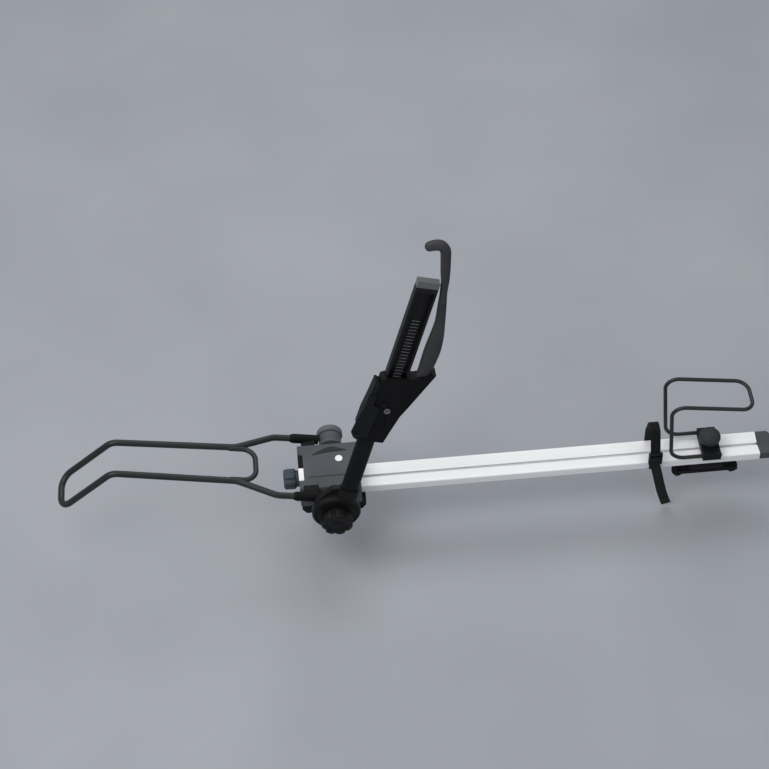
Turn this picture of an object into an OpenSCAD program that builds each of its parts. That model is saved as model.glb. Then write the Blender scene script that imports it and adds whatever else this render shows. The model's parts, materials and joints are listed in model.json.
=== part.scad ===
// Roof mounted bike carrier: a tray with an upright clamping arm, for two crossbars.
// Millimetres. +X runs along the tray towards the rear wheel, +Y across it, +Z up.
// The origin is on top of the front crossbar, in the middle of the seat.

/* [Crossbars] */
// Width of the crossbars that the carrier grips
bar_w = 80; // [60:1:90]
// Height of the crossbars
bar_h = 30; // [22:1:36]
// Distance from the middle of the rear crossbar to the end of the tray rail
rear_overhang = 117; // [112:1:140]

/* [Tray] */
// Width of the tray rail
tray_w = 68; // [60:1:76]
// Height of the tray rail
tray_h = 20; // [19:0.5:26]
// Length of the tray rail
tray_len = 944; // [840:2:1100]
// Depth of the dish between the two ridges
tray_dish = 5.4; // [3:0.2:6]
// Width of the groove along the middle of the tray
groove_w = 7.4; // [6.5:0.1:9]
// Wall of the extrusion
tray_wall = 2; // [1.6:0.1:2.4]
// Length of the end cap
cap_len = 38; // [25:1:60]

/* [Head] */
// Thickness of the rubber pads on the crossbars
pad_t = 3; // [2:0.5:5]
// Thickness of the saddle's bottom plate and the rear clamp plate
plate_t = 5; // [4:0.5:7]
// Thickness of the saddle's side plates
side_t = 6; // [4:0.5:8]
// Half width of the saddle across the car
saddle_half = 54; // [50:1:58]
// Length of the claws beyond the crossbar's edge
claw_len = 34; // [28:1:40]
// Reach of the claw lips under the crossbar
lip_len = 8; // [5:1:12]
// Travel of the sliding claw
claw_travel = 18; // [12:1:20]
// Height of the clamp screw
screw_z = 35; // [33:0.5:37]
// Radius of the clamp screw
screw_r = 5; // [4:0.5:6]
// Radius of the clamp knob
clamp_knob_r = 24; // [18:1:27]
// Length of the clamp knob
clamp_knob_len = 38; // [28:1:48]
// Half width of the head cover
cover_half = 66; // [63:1:70]
// Height of the head cover's ridge
cover_top = 84; // [82:1:92]
// Wall of the plastic shells
shell_t = 3; // [2:0.2:4]

/* [Arm] */
// Place of the axle along the tray
axle_x = 2; // [-4:1:8]
// Height of the axle
axle_z = 57; // [56:0.5:58]
// Radius of the axle
axle_r = 8; // [6:0.5:9]
// Distance of the arm's plane from the tray's middle at the axle
arm_offset = 112; // [110:1:118]
// Lean of the arm towards the tray, in degrees
arm_lean = 7.5; // [4:0.5:9]
// Lean of the arm towards the rear wheel, in degrees
arm_tilt = 17; // [8:1:24]
// Radius of the hub
hub_r = 55; // [48:1:55]
// Thickness of the hub
hub_t = 27; // [22:1:28]
// Width of the arm tube
tube_w = 40; // [34:1:42]
// Depth of the arm tube
tube_d = 22; // [18:0.5:22]
// Wall of the arm tube
tube_wall = 2.5; // [1.6:0.1:4]
// Radius of the torque knob
torque_knob_r = 36; // [28:1:38]
// Length of the torque knob
torque_knob_len = 30; // [22:1:34]

/* [Clamp head] */
// Distance from the axle to the bottom of the casing
casing_low = 234; // [225:1:240]
// Distance from the arm's plane to the near face of the casing
casing_near_y = 26; // [25:0.5:28]
// Depth of each half of the casing
casing_half_d = 14; // [14:0.5:16]
// Width of the rack bar
rack_w = 48; // [46:1:49]
// Depth of the rack bar
rack_d = 17.5; // [16:0.5:17.5]
// Height of the hook's crown above the bottom of the casing
hook_h = 531; // [490:1:570]
// Pitch of the rack teeth
tooth_pitch = 8.6; // [7:0.2:10]
// Height of the rack teeth
tooth_h = 4; // [3:0.5:5]
// Height of the frame pad
frame_pad_h = 16; // [10:1:20]
// Radius of the key lock
lock_r = 6.5; // [5:0.5:7]
// Width of the hook at its widest
hook_w = 36; // [32:1:38]
// Depth of the hook at its widest
hook_d = 20; // [18:0.5:21]

/* [Front hoop] */
// Diameter of the front hoop rod
front_rod = 15; // [12:1:16]
// Distance between the rod ends at the head
root_gap = 170; // [166:1:172]
// Distance between the rails beside the wheel
rail_gap = 90; // [80:1:110]
// Rise of the rails, in degrees
rail_rise = 12; // [8:0.5:15]
// Reach of the front hoop ahead of the crossbar
hoop_reach = 620; // [580:5:660]

/* [Rear hoop] */
// Diameter of the rear hoop rod
rear_rod = 9; // [7:0.5:11]
// Distance between the two sides of the rear hoop
rear_hoop_gap = 86; // [80:1:90]
// Distance between the two sides where they enter the bracket
rear_foot_gap = 70; // [66:1:74]
// Height of the rear hoop above the tray rail
rear_hoop_h = 203; // [150:1:230]
// Distance of the rear hoop's bracket behind the middle of the rear crossbar
bracket_shift = 2; // [-6:1:4]
// Reach of the rear hoop ahead of its bracket
hoop_back = 110; // [90:1:120]
// Reach of the rear hoop's end behind its bracket
hoop_tail = 80; // [70:1:90]
// Radius of the bracket's knob
hoop_knob_r = 25; // [20:0.5:27]

/* [Strap] */
// Distance of the strap ahead of the rear hoop
strap_lead = 23; // [21:1:60]
// Width of the strap
strap_w = 23; // [18:1:26]
// Thickness of the strap
strap_t = 2.4; // [1.6:0.2:3]
// Height of the strap's loop above the crossbar
strap_top = 118; // [100:1:140]
// Length of the strap's free tail
tail_len = 160; // [80:5:180]

/* [Hidden] */
$fn = 48;

// Clearances
run_fit = 0.05;
slide_fit = 0.4;
bar_fit = 1;

// Heights that the head and the tray share
tray_z = pad_t + plate_t;
tray_top = tray_z + tray_h;
tray_x0 = bar_w / 2 + bar_fit + 7;
tray_x1 = tray_x0 + tray_len;
saddle_len = bar_w / 2 + claw_len;
rear_x = tray_x1 - rear_overhang;

// Slots of the tray rail: neck, chamber width and chamber height
slot_half = groove_w / 2;
chamber_half = slot_half + 5;
chamber_h = 4;
top_chamber_z = tray_h - tray_dish - 2 - chamber_h;
low_chamber_z = tray_wall;

// Clamp screw and claws
claw_half = 45;
tongue_half = 16;
tongue_t = 12;
tongue_front = -(bar_w / 2 + 22);
collar_r = 13;
collar_len = 8;
collar_front = tongue_front - 4 - collar_len;
knob_front = collar_front - clamp_knob_len;
nut_x0 = bar_w / 2 - 22;
nut_len = 16;

// Axle and hub
hub_y0 = -arm_offset - 20;
hub_y1 = hub_y0 + hub_t;
axle_y0 = hub_y0 - torque_knob_len - 1;
boss_r = 19;
axle_cap_r = 30;
axle_cap_len = 18;
boss_y = saddle_half + 43;

// Arm tube and casing, in the arm's own frame
// The outlines of the clamp head are scaled by hk in height and by wk in width
// Above hook_root, the hook and the rack bar beside it are stretched together
casing_h = 181;
hk = casing_h / 181;
wk = rack_w / 48;
hook_root = 206;
tube_x = 10.5;
tube_y = shell_t + tube_d / 2 - casing_near_y;
tube_low = 30;
tube_high = casing_low + 18;
rack_x0 = 3.5;
rack_x1 = rack_x0 + rack_w;
rack_y0 = shell_t + 2.5 - casing_near_y;
rack_y1 = rack_y0 + rack_d;
rack_low = casing_low + 106 * hk;
web_t = 4;
flange_t = 5;
teeth_x0 = rack_x0 + 17.5;
teeth_x1 = rack_x0 + 35.5;
tooth_tip = rack_y1 - web_t - tooth_h;
casing_top = casing_low + casing_h;
rack_step = casing_top + 10;
rack_top = casing_low + hook_z(428);
casing_mid = casing_half_d - casing_near_y;
casing_back = 2 * casing_half_d - casing_near_y;
casing_left = -4.5;
casing_foot = tube_x - tube_w / 2 - shell_t - 0.5;
guide_low = casing_top - 26;
guide_h = 12;
lever_x = -20.5;
lever_z = casing_low + 17 * hk;
lever_pin_r = 4;
lever_gap = 0.5;
cheek_t = 3.5;
lock_x = -12.5;
lock_z = casing_low + 130 * hk;
pawl_z = casing_low + 151 * hk;
pawl_y = rack_y0 + 3;
pawl_x0 = rack_x0 + 18;
pawl_x1 = rack_x0 + 33;
pawl_pin_r = 2.5;
pawl_gap = 0.7;
hook_bolt_x = 76 * wk;
hook_bolt_z = casing_low + 170 * hk;
hook_bolt_r = 4;

// Front hoop
root_y = root_gap / 2;
root_x = -77;
root_z = axle_z + 19.6;
socket_len = 56;
socket_r = front_rod / 2 + 3.5;
jog_start = -128;
jog_end = -216;
rail_crest = -492;
loop_back = -172;
hoop_foot_z = 52;

// Rear hoop and strap
bracket_x = rear_x + bracket_shift;
strap_x = bracket_x - hoop_back - strap_lead;
hoop_step = 15;
hoop_drop = 32;
rear_y = rear_hoop_gap / 2;
rear_foot_y = rear_foot_gap / 2;
bracket_half = 21;
rear_rod_z = tray_top + 10;
bracket_h = 18;
hoop_bolt_r = slot_half - 0.4;
strap_half = tray_w / 2 + slide_fit + strap_t / 2;
rear_bolt_x = bar_w / 2 + 24;
rear_bolt_tail = 42;
rear_plate_half = 24;
clamp_bar_t = 10;
rear_bolt_r = 3;

// Geometry helpers

function unit(v) = v / norm(v);

// Points along an arc in the plane of a corner p0, p1, p2, with bend radius r
function corner(p0, p1, p2, r, n = 8) =
  let (a = unit(p0 - p1), b = unit(p2 - p1), half = acos(a * b) / 2, cut = r / tan(half),
       middle = p1 + unit(a + b) * r / sin(half), u = p1 + a * cut - middle,
       w = p1 + b * cut - middle, turn = 180 - 2 * half)
  [for (i = [0:n]) middle + (u * sin(turn * (1 - i / n)) + w * sin(turn * i / n)) / sin(turn)];

// A path of straight runs with a bend of radius r[i] at each inner point
function bent_path(p, r) = concat([p[0]],
  [for (i = [1:len(p) - 2]) each corner(p[i - 1], p[i], p[i + 1], r[i - 1])], [p[len(p) - 1]]);

// A smooth curve through the points, n steps for each span
function smooth_path(p, n = 6) = concat([for (i = [0:len(p) - 2]) for (k = [0:n - 1])
  let (t = k / n, a = p[max(i - 1, 0)], b = p[i], c = p[i + 1], d = p[min(i + 2, len(p) - 1)])
  b + t * (c - a) / 2 + t * t * (2 * a - 5 * b + 4 * c - d) / 2
    + t * t * t * (3 * b - a - 3 * c + d) / 2], [p[len(p) - 1]]);

function tangents(p) = [for (i = [0:len(p) - 1])
  unit((i == 0 ? p[1] - p[0] : unit(p[i] - p[i - 1]))
     + (i == len(p) - 1 ? p[i] - p[i - 1] : unit(p[min(i + 1, len(p) - 1)] - p[i])))];

// Normals carried along the path without twist
function normals(t, start, i = 0, done = []) = i == len(t) ? done :
  let (n = unit(start - t[i] * (start * t[i]))) normals(t, n, i + 1, concat(done, [n]));

// A closed tube along path p: ra and rb are the half sizes along the normal and across it
module sweep(p, ra, rb, start, sides = 16) {
  t = tangents(p);
  n = normals(t, start);
  last = (len(p) - 1) * sides;
  rings = [for (i = [0:len(p) - 1]) for (k = [0:sides - 1])
    let (a = 360 * k / sides) p[i] + n[i] * ra[i] * cos(a) + cross(t[i], n[i]) * rb[i] * sin(a)];
  walls = [for (i = [0:len(p) - 2]) for (k = [0:sides - 1])
    let (a = i * sides + k, b = i * sides + (k + 1) % sides)
    each [[a, a + sides, b], [b, a + sides, b + sides]]];
  ends = [for (k = [1:sides - 2]) each [[0, k, k + 1], [last, last + k + 1, last + k]]];
  polyhedron(points = rings, faces = concat(walls, ends), convexity = 6);
}

module rod(p, d, start) {
  r = [for (q = p) d / 2];
  sweep(p, r, r, start);
}

// Where the lines through two offset edges meet
function meet(p, u, q, w) = p + u * ((q - p) * [w[1], -w[0]]) / (u * [w[1], -w[0]]);

// A polygon drawn anticlockwise, moved inwards by d
function inset(p, d) = [for (i = [0:len(p) - 1])
  let (a = p[(i + len(p) - 1) % len(p)], b = p[i], c = p[(i + 1) % len(p)],
       u = unit(b - a), w = unit(c - b), m = [-u[1], u[0]], n = [-w[1], w[0]])
  meet(b + m * d, u, b + n * d, w)];

module box(low, high) translate(low) cube(high - low);

module cyl_x(y, z, x0, x1, r) translate([x0, y, z]) rotate([0, 90, 0]) cylinder(h = x1 - x0, r = r);

module cyl_y(x, z, y0, y1, r) translate([x, y1, z]) rotate([90, 0, 0]) cylinder(h = y1 - y0, r = r);

module cyl_z(x, y, z0, z1, r) translate([x, y, z0]) cylinder(h = z1 - z0, r = r);

// An outline in X and Z, from y0 to y1
module slab(p, y0, y1) translate([0, y1, 0]) rotate([90, 0, 0]) linear_extrude(y1 - y0) polygon(p);

// An outline in Y and Z, from x0 to x1
module bar(p, x0, x1) translate([x0, 0, 0]) rotate([90, 0, 90]) linear_extrude(x1 - x0) polygon(p);

module arm_frame() translate([axle_x, -arm_offset, axle_z]) rotate([-arm_lean, arm_tilt, 0]) children();

// A turned knob with grip lobes, along +Z
module lobed_knob(r, h, lobes, notch) {
  difference() {
    rotate_extrude() polygon([[0, 0], [r - 2, 0], [r, 2], [r, h - 5], [r - 1.5, h - 1.5], [r - 5, h], [0, h]]);
    for (i = [0:lobes - 1]) rotate(360 * i / lobes) translate([r + notch * 0.6, 0, -1]) cylinder(h = h + 2, r = notch);
  }
}

// Head

module base_saddle() color("#17181a") {
  slot_x = tongue_front + tongue_t + slide_fit;
  difference() {
    union() {
      box([-saddle_len + 2, -saddle_half, pad_t], [saddle_len - 2, saddle_half, tray_z]);
      box([saddle_len - 3, -tray_w / 2 + 6, pad_t], [tray_x0 + 82, tray_w / 2 - 6, tray_z]);
      for (s = [-1, 1]) side_plate(s);
    }
    box([-saddle_len - 1, -tongue_half - slide_fit, 0], [slot_x, tongue_half + slide_fit, tray_z + 1]);
    cyl_y(axle_x, axle_z, -saddle_half - 1, saddle_half + 1, axle_r + 3);
    tray_screw_holes();
  }
}

module side_plate(s) {
  y = s > 0 ? saddle_half - side_t : -saddle_half;
  slab([[-saddle_len + 2, pad_t], [saddle_len - 15, pad_t], [saddle_len - 15, tray_top + 10],
    [axle_x + 32, axle_z + 13], [-saddle_len + 2, axle_z + 13]], y, y + side_t);
}

module tray_screw_holes() for (i = [0, 1]) cyl_z(tray_x0 + 44 + 24 * i, 0, 0, tray_z + 1, 3.2);

module tray_screws() color("#8d9094") for (i = [0, 1]) {
  x = tray_x0 + 44 + 24 * i;
  cyl_z(x, 0, pad_t - 2.5, pad_t, 5.5);
  cyl_z(x, 0, pad_t, tray_z + low_chamber_z + 1, 3);
  slot_nut(x);
}

// A nut that lies in the lower slot of the tray
module slot_nut(x) box([x - 9, -chamber_half + 0.5, tray_z + low_chamber_z],
  [x + 9, chamber_half - 0.5, tray_z + low_chamber_z + chamber_h - 0.6]);

module saddle_pad() color("#222325")
  box([-bar_w / 2, -saddle_half + 4, 0], [bar_w / 2, saddle_half - 4, pad_t]);

// Outline of a claw on the +X side, from its top down to the lip under the bar
function claw_outline(top) = [[bar_w / 2 + bar_fit, top], [bar_w / 2 + bar_fit, -bar_h - 1],
  [bar_w / 2 - lip_len, -bar_h - 1.5], [bar_w / 2 - lip_len, -bar_h - 8], [saddle_len - 10, -bar_h - 10],
  [saddle_len, -bar_h + 4], [saddle_len, top]];

module fixed_claw() color("#1c1d1f") slab(claw_outline(pad_t), -claw_half, claw_half);

module sliding_claw() color("#1c1d1f") difference() {
  union() {
    mirror([1, 0, 0]) slab(claw_outline(pad_t - slide_fit), -claw_half, claw_half);
    box([tongue_front, -tongue_half, pad_t - slide_fit - 1], [tongue_front + tongue_t, tongue_half, screw_z + 11]);
  }
  cyl_x(0, screw_z, tongue_front - 1, tongue_front + tongue_t + 1, screw_r + 0.3);
}

module clamp_nut() color("#6f7276") difference() {
  box([nut_x0, -14, tray_z], [nut_x0 + nut_len, 14, screw_z + 10]);
  cyl_x(0, screw_z, nut_x0 - 1, nut_x0 + nut_len + 1, screw_r + run_fit);
}

module clamp_screw() color("#9a9da1") {
  cyl_x(0, screw_z, knob_front + 12, nut_x0 + nut_len + 20, screw_r);
  difference() {
    cyl_x(0, screw_z, collar_front + collar_len, tongue_front - 0.3, screw_r + 4);
    cyl_x(0, screw_z, collar_front, tongue_front, screw_r);
  }
}

module knob_collar() color("#d9dadb") difference() {
  cyl_x(0, screw_z, collar_front, collar_front + collar_len, collar_r);
  cyl_x(0, screw_z, collar_front - 1, collar_front + collar_len + 1, screw_r + run_fit);
}

module clamp_knob() color("#5c636c") difference() {
  translate([collar_front, 0, screw_z]) rotate([0, -90, 0]) {
    cylinder(h = 10, r = clamp_knob_r - 5);
    translate([0, 0, 9]) lobed_knob(clamp_knob_r, clamp_knob_len - 9, 8, 4.5);
  }
  cyl_x(0, screw_z, knob_front + 12, collar_front + 1, screw_r + run_fit);
}

// Outline of the head cover across the car
function cover_outline() = [[-cover_half, tray_z + 6], [cover_half, tray_z + 6], [cover_half, cover_top - 16],
  [cover_half - 6, cover_top - 6], [34, cover_top], [-22, cover_top - 3], [-cover_half + 5, cover_top - 11],
  [-cover_half, cover_top - 20]];

module head_cover() color("#4a4c4f") difference() {
  union() {
    bar(cover_outline(), -saddle_len - 2, saddle_len - 10);
    cyl_y(axle_x, axle_z, cover_half - 1, boss_y, boss_r);
    cyl_y(axle_x, axle_z, hub_y1 + 0.8, -cover_half + 1, axle_r + 12);
  }
  bar(inset(cover_outline(), shell_t), -saddle_len + 1, saddle_len - 10 - shell_t);
  box([-saddle_len + 1, -cover_half + shell_t, 0], [saddle_len - 10 - shell_t, cover_half - shell_t, tray_z + 20]);
  box([-saddle_len - 3, -clamp_knob_r + 3, 0], [-saddle_len + 3, clamp_knob_r - 3, screw_z + clamp_knob_r - 3]);
  box([saddle_len - 20, -tray_w / 2 - 1.5, 0], [saddle_len, tray_w / 2 + 1.5, tray_top + 3]);
  translate([-saddle_len, 0, cover_top]) rotate([0, -45, 0]) cube([20, 2 * cover_half + 2, 7], center = true);
  cyl_y(axle_x, axle_z, hub_y1, boss_y + 1, axle_r + 4);
  for (s = [-1, 1]) socket_lug(s, 1);
}

module cover_chevron() color("#2b2c2e") intersection() {
  translate([0, 0, 0]) linear_extrude(cover_top + 1.6)
    polygon([[-42, 26], [-14, 44], [2, 49], [12, 46], [38, 33], [0, 32]]);
  difference() {
    bar([for (p = cover_outline()) p + [0, 1.6]], -saddle_len, saddle_len);
    bar(cover_outline(), -saddle_len - 1, saddle_len + 1);
  }
}

module cover_plug() color("#e8e8e6") intersection() {
  cyl_z(18, 11, cover_top - 6, cover_top + 4, 8.5);
  difference() {
    bar([for (p = cover_outline()) p + [0, 1.2]], -saddle_len, saddle_len);
    bar(cover_outline(), -saddle_len - 1, saddle_len + 1);
  }
}

module pivot_axle() color("#a3a6aa") cyl_y(axle_x, axle_z, axle_y0 + 8, boss_y + axle_cap_len - 8, axle_r);

module axle_bushes() color("#c9c4b4") for (s = [-1, 1]) difference() {
  y = s > 0 ? saddle_half - side_t : -saddle_half;
  cyl_y(axle_x, axle_z, y, y + side_t, axle_r + 3);
  cyl_y(axle_x, axle_z, y - 1, y + side_t + 1, axle_r + run_fit);
}

module axle_cap() color("#63666a") difference() {
  translate([axle_x, boss_y, axle_z]) rotate([-90, 0, 0]) rotate_extrude()
    polygon([[0, 0], [axle_cap_r - 1.5, 0], [axle_cap_r, 2], [axle_cap_r, axle_cap_len - 6], [axle_cap_r - 1.5, axle_cap_len - 3],
      [axle_cap_r - 6, axle_cap_len - 0.8], [0, axle_cap_len]]);
  cyl_y(axle_x, axle_z, boss_y - 1, boss_y + axle_cap_len - 8, axle_r + run_fit);
}

// Front hoop

function rail_z(x) = root_z + (root_x - x) * tan(rail_rise);

function hoop_half(s) = [[root_x + socket_len - 10, s * root_y, rail_z(root_x + socket_len - 10)],
  [jog_start, s * root_y, rail_z(jog_start)], [jog_end, s * (rail_gap / 2 + 4), rail_z(jog_end)],
  [rail_crest, s * rail_gap / 2, rail_z(rail_crest)], [-hoop_reach, s * rail_gap / 2, hoop_foot_z]];

function hoop_path() = let (near = hoop_half(-1), far = hoop_half(1))
  bent_path(concat(near, [for (i = [len(far) - 1:-1:0]) far[i]]), [45, 50, 30, 32, 32, 30, 50, 45]);

module front_hoop() color("#141416") rod(hoop_path(), front_rod, [0, 0, 1]);

module hoop_cross_rod() color("#141416") {
  ends = [for (s = [-1, 1]) [jog_end - 12, s * rail_gap / 2, rail_z(jog_end - 12)]];
  back = [for (s = [-1, 1]) [loop_back, s * rail_gap / 2, rail_z(loop_back)]];
  rod(bent_path([ends[0], back[0], back[1], ends[1]], [30, 30]), front_rod - 3, [0, 0, 1]);
}

// Lug of a rod socket, from the saddle's side plate out to the rod
module socket_lug(s, gap) {
  y0 = saddle_half;
  y1 = root_y - 2;
  low = [root_x + 11 - gap, s > 0 ? y0 : -y1, axle_z + 2 - gap];
  high = [root_x + 43 + gap, s > 0 ? y1 : -y0, axle_z + 18 + gap];
  box(low, high);
}

module hoop_sockets() color("#1a1b1d") for (s = [-1, 1]) difference() {
  union() {
    socket_lug(s, 0);
    translate([root_x, s * root_y, root_z]) rotate([0, rail_rise, 0]) {
      cyl_x(0, 0, -6, socket_len - 4, socket_r);
      translate([-6, 0, 0]) rotate([0, -90, 0]) cylinder(h = 8, r1 = socket_r, r2 = front_rod / 2 + 1.2);
    }
  }
  translate([root_x, s * root_y, root_z]) rotate([0, rail_rise, 0]) cyl_x(0, 0, -20, socket_len - 5, front_rod / 2);
}

// Arm

module arm_hub() color("#1b1b1d") difference() {
  union() {
    translate([axle_x, hub_y1, axle_z]) rotate([90, 0, 0]) rotate_extrude()
      polygon([[0, 0], [hub_r - 6, 0], [hub_r - 2, 3], [hub_r, 8], [hub_r, hub_t - 7], [hub_r - 4, hub_t - 2],
        [hub_r - 9, hub_t], [0, hub_t]]);
    arm_frame() oval_prism(tube_x, tube_w / 2 + 4, tube_d / 2 + 3, 40, hub_r + 22);
    arm_frame() slab([[2 - hub_r, 18], [-24, 6], [tube_x - 4, 40], [tube_x - tube_w / 2, hub_r + 15],
      [tube_x - tube_w / 2 - 16, hub_r + 12], [tube_x - tube_w / 2 - 31, hub_r - 10]], -10, 3);
  }
  cyl_y(axle_x, axle_z, hub_y0 - 1, hub_y1 + 30, axle_r + run_fit);
  arm_frame() oval_prism(tube_x, tube_w / 2, tube_d / 2, tube_low, hub_r + 40);
}

// An upright bar with round front and back edges, in the arm's frame
module oval_prism(x, a, b, z0, z1) {
  box([x - a + b, tube_y - b, z0], [x + a - b, tube_y + b, z1]);
  for (s = [-1, 1]) cyl_z(x + s * (a - b), tube_y, z0, z1, b);
}

module arm_tube() color("#18181a") arm_frame() difference() {
  oval_prism(tube_x, tube_w / 2, tube_d / 2, tube_low, tube_high);
  oval_prism(tube_x, tube_w / 2 - tube_wall, tube_d / 2 - tube_wall, tube_low - 1, tube_high + 1);
}

module torque_knob() color("#232427") difference() {
  translate([axle_x, hub_y0 - 1, axle_z]) rotate([90, 0, 0]) {
    cylinder(h = 8, r = torque_knob_r - 8);
    translate([0, 0, 7]) lobed_knob(torque_knob_r, torque_knob_len - 7, 7, 7);
  }
  cyl_y(axle_x, axle_z, axle_y0 + 7.5, hub_y0, axle_r + run_fit);
}

// Outline of the casing, anticlockwise from its lower left corner
function casing_outline() = let (z = casing_low)
  [[casing_foot, z + 2], [8 * wk, z], [45 * wk, z], [53 * wk, z + 40 * hk], [62 * wk, z + 80 * hk],
   [74 * wk, z + 111 * hk], [109 * wk, z + 206 * hk], [66 * wk, z + 189 * hk], [rack_x0, z + casing_h],
   [casing_left, z + casing_h - 5], [casing_left, z + 28 * hk], [casing_foot, z + 24 * hk]];

module casing_half(y0, y1, wall_y0, wall_y1) difference() {
  slab(casing_outline(), y0, y1);
  difference() {
    slab(inset(casing_outline(), shell_t), wall_y0, wall_y1);
    casing_bosses(y0, y1);
  }
  oval_prism(tube_x, tube_w / 2, tube_d / 2, casing_low - 1, tube_high + 1);
  box([rack_x0 - slide_fit, rack_y0 - slide_fit, guide_low + 4], [rack_x1 + slide_fit, rack_y1 + slide_fit, casing_top + 30]);
  hook_solid(0.3);
  for (p = casing_screw_places()) cyl_y(p[0], p[1], max(y0 - 1, 1 - casing_near_y), y1 + 1, 2.5);
}

function casing_screw_places() = [[tube_x + tube_w / 2 + 8.5, casing_low + 13], [rack_x1 + 11, casing_low + 122 * hk]];

// Bosses inside the casing for its screws and the hook's root
module casing_bosses(y0, y1) {
  for (p = casing_screw_places()) cyl_y(p[0], p[1], y0, y1, 4.5);
  slab([[rack_x1 + 7, casing_low + 152 * hk], [100 * wk, casing_low + 152 * hk], [108 * wk, casing_low + 206 * hk],
    [rack_x1 + 7, casing_low + 190 * hk]], y0, y1);
}

// Ear of the near half that carries the lever's pin
module lever_ear() {
  slab([[lever_x, lever_z - 8], [casing_foot + 2, lever_z - 9], [casing_foot + 2, lever_z + 7], [lever_x, lever_z + 8]],
    -casing_near_y, casing_mid);
  cyl_y(lever_x, lever_z, -casing_near_y, casing_mid, 8);
}

module casing_near() color("#1d1d20") arm_frame() difference() {
  union() {
    casing_half(-casing_near_y, casing_mid, shell_t - casing_near_y, casing_mid + 1);
    lever_ear();
    pawl_bosses();
  }
  cyl_y(lever_x, lever_z, -casing_near_y - 1, casing_mid + 1, lever_pin_r);
  for (p = pawl_screw_places()) cyl_y(p[0], p[1], -casing_near_y - 1, shell_t + 1 - casing_near_y, 2.5);
  slab([[31 * wk, casing_low + 50 * hk], [38 * wk, casing_low + 50 * hk], [34 * wk, casing_low + 84 * hk],
    [27 * wk, casing_low + 84 * hk]], -casing_near_y - 1, 1.2 - casing_near_y);
  cyl_x(pawl_y, pawl_z, pawl_x0 - 9, pawl_x1 + 8, pawl_pin_r);
  cyl_y(hook_bolt_x, hook_bolt_z, 5 - casing_near_y, casing_mid + 1, hook_bolt_r);
}

module pawl_bosses() for (x = [pawl_x0 - 8, pawl_x1 + 3.5])
  box([x, shell_t - 0.5 - casing_near_y, pawl_z - 5], [x + 4, pawl_y + 4, pawl_z + 5]);

module casing_far() color("#1d1d20") arm_frame() difference() {
  casing_half(casing_mid, casing_back, casing_mid - 1, casing_back - shell_t);
  cyl_y(hook_bolt_x, hook_bolt_z, casing_mid - 1, casing_back + 1, hook_bolt_r);
}

module casing_screws() color("#77797d") arm_frame() for (p = casing_screw_places()) {
  cyl_y(p[0], p[1], 1 - casing_near_y, casing_back, 2.5);
  cyl_y(p[0], p[1], casing_back, casing_back + 2.5, 4.5);
}

module lever() color("#202329") arm_frame() {
  z = casing_low;
  near = -casing_near_y - lever_gap - cheek_t;
  inner = casing_left - 1;
  difference() {
    union() {
      slab([[-26 * wk, z + 40 * hk], [-22 * wk, z + 30 * hk], [inner, z + 30 * hk], [inner, z + 168 * hk],
        [-17 * wk, z + 172 * hk], [-20 * wk, z + 131 * hk], [-25 * wk, z + 84 * hk]],
        near, casing_mid + 8);
      slab([[-34 * wk, z + 24 * hk], [-26 * wk, z + 10 * hk], [-16 * wk, z + 4 * hk], [5 * wk, z + 15 * hk],
        [10 * wk, z + 99 * hk], [inner, z + 108 * hk], [-20 * wk, z + 110 * hk], [-26 * wk, z + 84 * hk],
        [-30 * wk, z + 57 * hk]], near, near + cheek_t);
    }
    cyl_y(lever_x, lever_z, near - 1, near + cheek_t + 1, lever_pin_r + run_fit);
    cyl_y(lock_x, lock_z, near - 1, casing_mid, lock_r + run_fit);
  }
}

module lever_pin() color("#9b9ea2") arm_frame() {
  head = -casing_near_y - lever_gap - cheek_t - slide_fit;
  cyl_y(lever_x, lever_z, head, casing_mid, lever_pin_r);
  cyl_y(lever_x, lever_z, head - 1.8, head, lever_pin_r + 1.5);
}

module lock_barrel() color("#b3b6ba") arm_frame() difference() {
  front = -casing_near_y - lever_gap - cheek_t - 2;
  cyl_y(lock_x, lock_z, front, casing_mid - 0.5, lock_r);
  box([lock_x - 0.8, front - 1, lock_z - 4], [lock_x + 0.8, front + 9, lock_z + 4]);
}

// Rack, its pawl and the hook

module rack_bar() color("#1f1f22") arm_frame() {
  box([rack_x0, rack_y1 - web_t, rack_low], [teeth_x1, rack_y1, rack_top]);
  box([rack_x0, rack_y1 - web_t, rack_step], [rack_x1, rack_y1, rack_top]);
  box([rack_x0, rack_y0, rack_low], [rack_x0 + flange_t, rack_y1, rack_top]);
  box([rack_x1 - flange_t, rack_y0, rack_step], [rack_x1, rack_y1, rack_top]);
  box([rack_x0, rack_y0, rack_top - 12], [rack_x1, rack_y1, rack_top]);
  first = pawl_z - 24.4 - tooth_pitch * floor((pawl_z - 25 - rack_low) / tooth_pitch);
  for (z = [first:tooth_pitch:rack_top - 94]) rack_tooth(z);
}

module rack_tooth(z) {
  y = rack_y1 - web_t;
  bar([[y + 0.5, z], [y + 0.5, z + tooth_pitch * 0.55], [y, z + tooth_pitch * 0.55], [tooth_tip, z + 1.5], [tooth_tip, z]],
    teeth_x0, teeth_x1);
}

module rack_guide() color("#3a3b3e") arm_frame() difference() {
  box([casing_left + shell_t + 0.1, shell_t + 0.1 - casing_near_y, guide_low], [rack_x1 + 3, casing_back - shell_t - 0.1, guide_low + guide_h]);
  box([rack_x0 - 0.3, rack_y0 - 0.3, guide_low - 1], [rack_x1 + 0.3, rack_y1 + 0.3, guide_low + guide_h + 1]);
  box([pawl_x0 - 9, rack_y0 - 10, guide_low - 1], [pawl_x1 + 8.5, rack_y0 + 1, guide_low + guide_h + 1]);
}

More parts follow.
